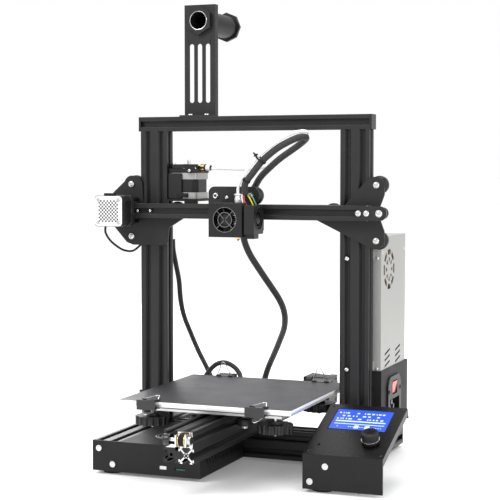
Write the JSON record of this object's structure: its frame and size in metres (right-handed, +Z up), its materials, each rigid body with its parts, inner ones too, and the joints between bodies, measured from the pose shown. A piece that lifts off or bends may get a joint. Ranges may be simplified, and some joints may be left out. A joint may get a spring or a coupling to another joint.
{
  "type": "fdm printer",
  "caption": "Open-frame desktop filament printer with a lead-screw gantry, a belt-driven print head, a moving heated bed, a tilted display unit and a spool holder on top.",
  "frame": {"origin": "middle of the machine's footprint, on the surface its feet stand on", "axes": "+X right, +Y back, +Z up; the front with the display faces -Y"},
  "size_m": [0.444, 0.4534, 0.625],
  "materials": {
    "anodised_black": "black anodised, satin",
    "black_plastic": "moulded, satin",
    "black_sheet": "powder coated, fine texture",
    "circuit_board": "solder mask",
    "motor_black": "black laminations with bright end bells",
    "psu_aluminium": "pale, brushed",
    "rocker_red": "glossy",
    "display_blue": "backlit glass",
    "bright_steel": "bright",
    "belt_rubber": "toothed",
    "pulley_metal": "turned",
    "brass": "turned",
    "wheel_black": "satin",
    "plate_aluminium": "brushed",
    "coated_glass": "fine speckle",
    "clip_steel": "glossy black",
    "clear_tube": "milky",
    "braided_sleeve": "braided"
  },
  "bodies": {
    "frame": {"base_rails": "anodised_black", "y_rail": "anodised_black", "uprights": "anodised_black", "top_beam": "anodised_black", "feet_and_caps": "black_plastic", "electronics_box": "black_sheet", "mainboard": "circuit_board", "frame_motors": "motor_black", "motor_brackets": "black_sheet", "limit_switches": "black_plastic", "psu_case": "psu_aluminium", "psu_core": "circuit_board", "psu_cover": "black_sheet", "power_inlet": "black_plastic", "display_housing": "black_sheet", "display_module": "display_blue", "spool_bracket": "black_sheet", "spool_tube": "black_plastic", "frame_screws": "bright_steel", "y_belt": "belt_rubber", "head_harness": "braided_sleeve", "motor_harness": "braided_sleeve", "bed_cable": "braided_sleeve"},
    "mains_rocker": {"power_rocker": "rocker_red"},
    "encoder": {"encoder_shaft": "bright_steel"},
    "knob": {"control_knob": "black_plastic"},
    "y_motor_pulley": {"y_motor_pulley": "pulley_metal"},
    "y_idler_pulley": {"y_idler_pulley": "pulley_metal"},
    "lead_screw": {"lead_screw": "bright_steel"},
    "gantry": {"x_beam": "anodised_black", "gantry_plates": "black_sheet", "x_motor": "motor_black", "extruder_motor": "motor_black", "extruder_body": "black_sheet", "extruder_spring": "bright_steel", "x_belt": "belt_rubber", "gantry_screws": "bright_steel", "z_wheels": "wheel_black", "bowden_tube": "clear_tube", "x_motor_lead": "braided_sleeve"},
    "lever": {"extruder_lever": "black_plastic"},
    "feed_gear": {"extruder_gear": "brass"},
    "x_motor_pulley": {"x_motor_pulley": "pulley_metal"},
    "x_idler_pulley": {"x_idler_pulley": "pulley_metal"},
    "carriage": {"carriage_plate": "black_sheet", "head_shroud": "black_sheet", "hot_end": "brass", "blower": "black_plastic", "x_wheels": "wheel_black"},
    "head_fan": {"head_fan_rotor": "black_plastic"},
    "bed": {"y_carriage_plate": "plate_aluminium", "heated_bed": "plate_aluminium", "build_surface": "coated_glass", "bed_springs": "bright_steel", "bed_clips": "clip_steel", "y_wheels": "wheel_black"},
    "bed_knob_1": {"bed_knob_1": "black_plastic"},
    "bed_knob_2": {"bed_knob_2": "black_plastic"},
    "bed_knob_3": {"bed_knob_3": "black_plastic"},
    "bed_knob_4": {"bed_knob_4": "black_plastic"}
  },
  "joints": [
    {"name": "gantry_lift", "type": "slide", "parent": "frame", "child": "gantry", "axis": [0, 0, 1], "range_m": [-0.2, 0.04], "deforming": ["head_harness", "motor_harness", "x_motor_lead", "bowden_tube"]},
    {"name": "lead_screw_turn", "type": "hinge", "parent": "frame", "child": "lead_screw", "pos_m": [-0.159, 0.076, 0.2], "axis": [0, 0, 1], "continuous": true},
    {"name": "carriage_slide", "type": "slide", "parent": "gantry", "child": "carriage", "axis": [1, 0, 0], "range_m": [-0.11, 0.11], "deforming": ["head_harness", "bowden_tube"]},
    {"name": "x_motor_pulley_turn", "type": "hinge", "parent": "gantry", "child": "x_motor_pulley", "pos_m": [-0.192, 0.016, 0.342], "axis": [0, 1, 0], "continuous": true},
    {"name": "x_idler_pulley_turn", "type": "hinge", "parent": "gantry", "child": "x_idler_pulley", "pos_m": [0.181, 0.016, 0.342], "axis": [0, 1, 0], "continuous": true},
    {"name": "bed_slide", "type": "slide", "parent": "frame", "child": "bed", "axis": [0, 1, 0], "range_m": [-0.105, 0.105], "deforming": ["bed_cable"]},
    {"name": "y_motor_pulley_turn", "type": "hinge", "parent": "frame", "child": "y_motor_pulley", "pos_m": [0.003, 0.2045, 0.075], "axis": [1, 0, 0], "continuous": true},
    {"name": "y_idler_pulley_turn", "type": "hinge", "parent": "frame", "child": "y_idler_pulley", "pos_m": [0.003, -0.218, 0.075], "axis": [1, 0, 0], "continuous": true},
    {"name": "lever_swing", "type": "hinge", "parent": "gantry", "child": "lever", "pos_m": [-0.127, 0.042, 0.403], "axis": [0, 0, 1], "range_deg": [-10, 0], "stiffness_Nm_per_rad": 0.5, "springref_deg": 6.88, "deforming": ["extruder_spring"]},
    {"name": "feed_gear_turn", "type": "hinge", "parent": "gantry", "child": "feed_gear", "pos_m": [-0.11115, 0.05715, 0.4], "axis": [0, 0, 1], "continuous": true},
    {"name": "head_fan_turn", "type": "hinge", "parent": "carriage", "child": "head_fan", "pos_m": [-0.0164, -0.035, 0.333], "axis": [0, 1, 0], "continuous": true},
    {"name": "mains_rocker_tilt", "type": "hinge", "parent": "frame", "child": "mains_rocker", "pos_m": [0.169, 0.112, 0.101], "axis": [0, 1, 0], "range_deg": [-16, 0]},
    {"name": "knob_press", "type": "slide", "parent": "frame", "child": "encoder", "axis": [0, 0.3602, -0.9329], "range_m": [0, 0.0005], "stiffness_N_per_m": 800, "springref_m": -0.001},
    {"name": "knob_turn", "type": "hinge", "parent": "encoder", "child": "knob", "pos_m": [0.197, -0.08558, 0.06656], "axis": [0, -0.3602, 0.9329], "continuous": true},
    {"name": "bed_knob_1_turn", "type": "hinge", "parent": "bed", "child": "bed_knob_1", "pos_m": [-0.092, -0.103, 0.075], "axis": [0, 0, 1], "continuous": true},
    {"name": "bed_knob_2_turn", "type": "hinge", "parent": "bed", "child": "bed_knob_2", "pos_m": [0.078, -0.103, 0.075], "axis": [0, 0, 1], "continuous": true},
    {"name": "bed_knob_3_turn", "type": "hinge", "parent": "bed", "child": "bed_knob_3", "pos_m": [-0.092, 0.067, 0.075], "axis": [0, 0, 1], "continuous": true},
    {"name": "bed_knob_4_turn", "type": "hinge", "parent": "bed", "child": "bed_knob_4", "pos_m": [0.078, 0.067, 0.075], "axis": [0, 0, 1], "continuous": true}
  ],
  "couplings": [
    {"joint": "lead_screw_turn", "follows": "gantry_lift", "rad_per_m": -785.4},
    {"joint": "x_motor_pulley_turn", "follows": "carriage_slide", "rad_per_m": 157.08},
    {"joint": "x_idler_pulley_turn", "follows": "carriage_slide", "rad_per_m": 157.08},
    {"joint": "y_motor_pulley_turn", "follows": "bed_slide", "rad_per_m": -157.08},
    {"joint": "y_idler_pulley_turn", "follows": "bed_slide", "rad_per_m": -157.08}
  ]
}
